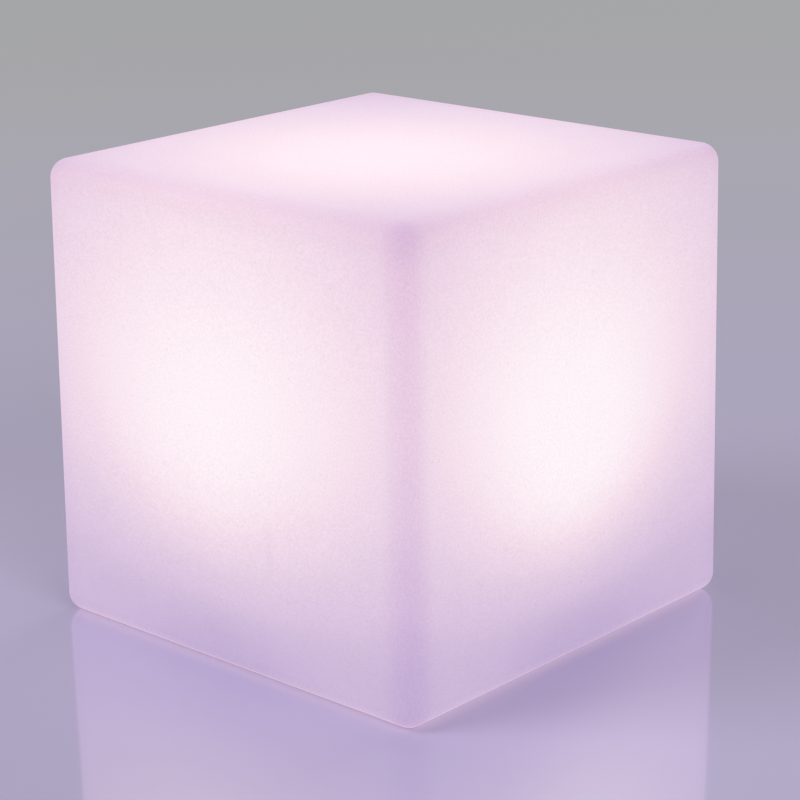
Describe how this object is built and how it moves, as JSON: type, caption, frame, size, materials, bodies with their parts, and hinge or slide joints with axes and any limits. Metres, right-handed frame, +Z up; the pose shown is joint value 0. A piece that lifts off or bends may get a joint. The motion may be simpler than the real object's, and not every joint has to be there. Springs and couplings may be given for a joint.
{
  "type": "led cube light",
  "caption": "Glowing cube lamp of frosted milky plastic with rounded edges, lit from a round module in its underside that holds the button and charging socket.",
  "frame": {"origin": "middle of the underside, on the surface that the cube stands on", "axes": "+Z up; the vertical edge between +X and -Y faces the viewer; the button is on the -X side of the underside and the charging socket on the +X side"},
  "size_m": [0.1008, 0.1008, 0.0985],
  "materials": {
    "milky_polyethylene": "frosted and translucent, with a fine grain, lit from inside",
    "cover_plastic": "satin moulded",
    "inner_plastic": "satin moulded",
    "button_plastic": "satin",
    "silicone": "matt, slightly translucent",
    "o_ring_rubber": "matt",
    "foam": "matt",
    "brass": "knurled",
    "screw_steel": "zinc plated",
    "black_plastic": "matt",
    "socket_plastic": "satin",
    "contact_metal": "nickel plated",
    "clear_plastic": "clear, polished",
    "board_green": "solder mask",
    "board_white": "white solder mask",
    "charge_led": "clear resin",
    "led_package": "white case with a clear window",
    "receiver_epoxy": "dark polished epoxy",
    "can_sleeve": "bare top, printed sleeve left plain",
    "cell_foil": "matt foil",
    "amber_tape": "film tape",
    "lead_red": "satin",
    "lead_black": "satin",
    "lead_white": "satin"
  },
  "bodies": {
    "lamp": {"diffuser_shell": "milky_polyethylene", "threaded_inserts": "brass", "base_gasket": "silicone", "base_screws": "screw_steel", "base_cup": "cover_plastic", "button_o_ring": "o_ring_rubber", "push_switch": "black_plastic", "charging_jack": "black_plastic", "jack_contacts": "contact_metal", "light_pipe": "clear_plastic", "charge_led": "charge_led", "control_board": "board_green", "board_screws": "screw_steel", "control_chip": "black_plastic", "charge_chip": "black_plastic", "mosfets": "black_plastic", "resistors": "black_plastic", "capacitors": "can_sleeve", "battery_socket": "socket_plastic", "battery_plug": "socket_plastic", "battery_pack": "cell_foil", "protection_board": "amber_tape", "battery_tape": "foam", "battery_lead_red": "lead_red", "battery_lead_black": "lead_black", "led_socket": "socket_plastic", "led_plug": "socket_plastic", "led_leads": "lead_white", "module_lid": "inner_plastic", "cover_o_ring": "silicone", "led_board": "board_white", "led_board_screws": "screw_steel", "rgb_leds": "led_package", "ir_receiver": "receiver_epoxy", "lens_cover": "clear_plastic", "module_screws": "screw_steel"},
    "button": {"power_button": "button_plastic", "switch_plunger": "socket_plastic"},
    "plug": {"port_plug": "silicone"}
  },
  "joints": [
    {"name": "power_button_press", "type": "slide", "parent": "lamp", "child": "button", "axis": [0, 0, 1], "range_m": [0, 0.0012], "stiffness_N_per_m": 1200, "springref_m": -0.0005},
    {"name": "port_plug_pull", "type": "slide", "parent": "lamp", "child": "plug", "axis": [0, 0, -1], "range_m": [0, 0.008]}
  ]
}
